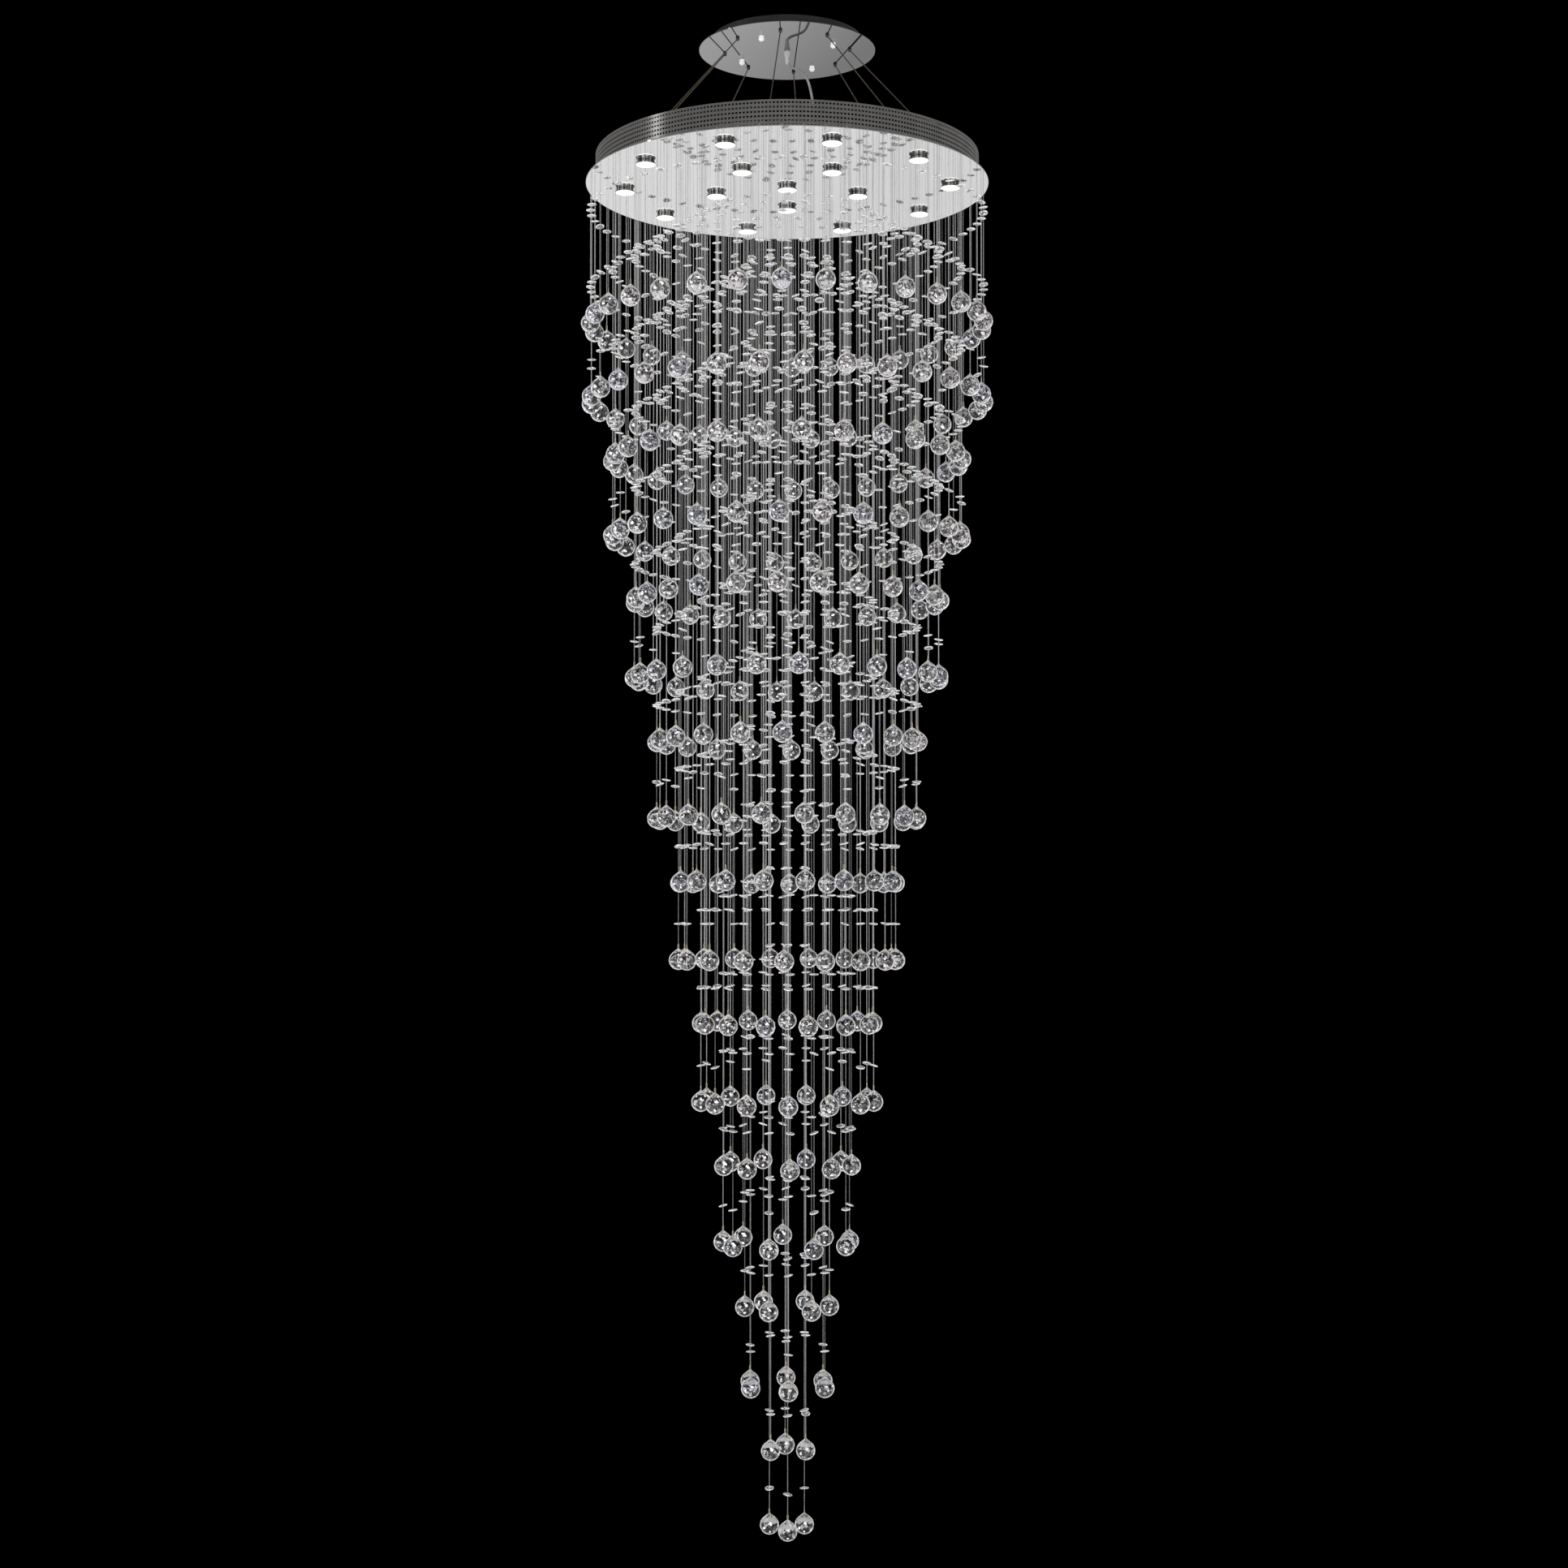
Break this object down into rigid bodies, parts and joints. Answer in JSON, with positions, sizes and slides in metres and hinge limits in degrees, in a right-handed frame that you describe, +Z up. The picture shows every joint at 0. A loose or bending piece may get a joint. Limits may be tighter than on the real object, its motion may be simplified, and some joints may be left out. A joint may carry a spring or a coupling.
{
  "type": "crystal chandelier",
  "caption": "Tapering cascade of facetted crystal balls on beaded clear lines, under a mirror drum with downlights, hung by splayed wire ropes from a mirror canopy.",
  "frame": {"origin": "on the ceiling, in the middle of the ceiling pan", "axes": "+Z up along the chandelier's axis, +X to the right and +Y away from the picture's camera"},
  "size_m": [0.8308, 0.8308, 3.0138],
  "materials": {
    "mirror_steel": "polished",
    "canopy_steel": "polished",
    "pewter_steel": "satin",
    "cover_steel": "satin",
    "zinc_steel": "satin",
    "chrome": "polished",
    "wire_rope": "satin",
    "clear_plastic": "gloss",
    "clear_cord": "gloss",
    "white_plastic": "satin",
    "lead_sleeve": "matte",
    "socket_ceramic": "matte",
    "lamp_glass": "gloss",
    "crystal": "polished",
    "nylon_line": "gloss",
    "brass": "polished"
  },
  "bodies": {
    "canopy": {"ceiling_pan": "pewter_steel", "canopy_studs": "zinc_steel", "canopy_plate": "canopy_steel", "canopy_cap_nuts": "chrome", "canopy_rope_ends": "chrome", "canopy_rope_nuts": "zinc_steel", "canopy_gland": "clear_plastic", "canopy_gland_nut": "white_plastic", "canopy_terminal_block": "white_plastic", "suspension_ropes": "wire_rope", "power_cord": "clear_cord"},
    "drum": {"drum_rope_ends": "chrome", "drum_rope_nuts": "zinc_steel", "drum_gland": "clear_plastic", "drum_gland_nut": "white_plastic", "drum_terminal_block": "white_plastic", "lamp_leads": "lead_sleeve", "drum_frame": "zinc_steel", "top_cover": "cover_steel", "cover_screws": "zinc_steel", "perforated_band": "pewter_steel", "plate_pillars": "zinc_steel", "mirror_plate": "mirror_steel", "lamp_sockets": "socket_ceramic", "lamp_brackets": "zinc_steel", "strand_stops": "zinc_steel", "ball_pins": "brass", "outer_strand_lines": "nylon_line", "middle_strand_lines": "nylon_line", "inner_strand_lines": "nylon_line", "ring_1_balls": "crystal", "ring_2_balls": "crystal", "ring_3_balls": "crystal", "ring_4_balls": "crystal", "ring_5_balls": "crystal", "ring_6_balls": "crystal", "ring_7_balls": "crystal", "ring_8_balls": "crystal", "ring_9_balls": "crystal", "ring_1_beads": "crystal", "ring_2_beads": "crystal", "ring_3_beads": "crystal", "ring_4_beads": "crystal", "ring_5_beads": "crystal", "ring_6_beads": "crystal", "ring_7_beads": "crystal", "ring_8_beads": "crystal", "ring_9_beads": "crystal"},
    "outer_lamps": {"outer_lamps": "lamp_glass"},
    "inner_lamps": {"inner_lamps": "lamp_glass"},
    "centre_lamp": {"centre_lamp": "lamp_glass"},
    "tip_strand_1": {"tip_1_line": "nylon_line", "tip_1_beads": "crystal"},
    "tip_ball_1": {"tip_1_ball": "crystal"},
    "tip_strand_2": {"tip_2_line": "nylon_line", "tip_2_beads": "crystal"},
    "tip_ball_2": {"tip_2_ball": "crystal"},
    "tip_strand_3": {"tip_3_line": "nylon_line", "tip_3_beads": "crystal"},
    "tip_ball_3": {"tip_3_ball": "crystal"}
  },
  "joints": [
    {"name": "drum_twist", "type": "hinge", "parent": "canopy", "child": "drum", "pos_m": [0, 0, -0.2529], "axis": [0, 0, 1], "range_deg": [-8, 8], "stiffness_Nm_per_rad": 68, "deforming": ["suspension_ropes", "power_cord"]},
    {"name": "tip_strand_1_swing", "type": "hinge", "parent": "drum", "child": "tip_strand_1", "pos_m": [0.03457, 0.02118, -0.2966], "axis": [0.866, -0.5, 0], "range_deg": [-0.4, 1.5]},
    {"name": "tip_ball_1_spin", "type": "hinge", "parent": "tip_strand_1", "child": "tip_ball_1", "pos_m": [0.03457, 0.02118, -2.9135], "axis": [0, 0, 1], "continuous": true},
    {"name": "tip_strand_2_swing", "type": "hinge", "parent": "drum", "child": "tip_strand_2", "pos_m": [-0.03563, 0.01934, -0.2966], "axis": [0, 1, 0], "range_deg": [-0.4, 1.5]},
    {"name": "tip_ball_2_spin", "type": "hinge", "parent": "tip_strand_2", "child": "tip_ball_2", "pos_m": [-0.03563, 0.01934, -2.9135], "axis": [0, 0, 1], "continuous": true},
    {"name": "tip_strand_3_swing", "type": "hinge", "parent": "drum", "child": "tip_strand_3", "pos_m": [0.00106, -0.04053, -0.2966], "axis": [-0.866, -0.5, 0], "range_deg": [-0.4, 1.5]},
    {"name": "tip_ball_3_spin", "type": "hinge", "parent": "tip_strand_3", "child": "tip_ball_3", "pos_m": [0.00106, -0.04053, -2.9135], "axis": [0, 0, 1], "continuous": true},
    {"name": "outer_lamps_pull", "type": "slide", "parent": "drum", "child": "outer_lamps", "axis": [0, 0, -1], "range_m": [0, 0.03]},
    {"name": "inner_lamps_pull", "type": "slide", "parent": "drum", "child": "inner_lamps", "axis": [0, 0, -1], "range_m": [0, 0.03]},
    {"name": "centre_lamp_pull", "type": "slide", "parent": "drum", "child": "centre_lamp", "axis": [0, 0, -1], "range_m": [0, 0.03]}
  ]
}
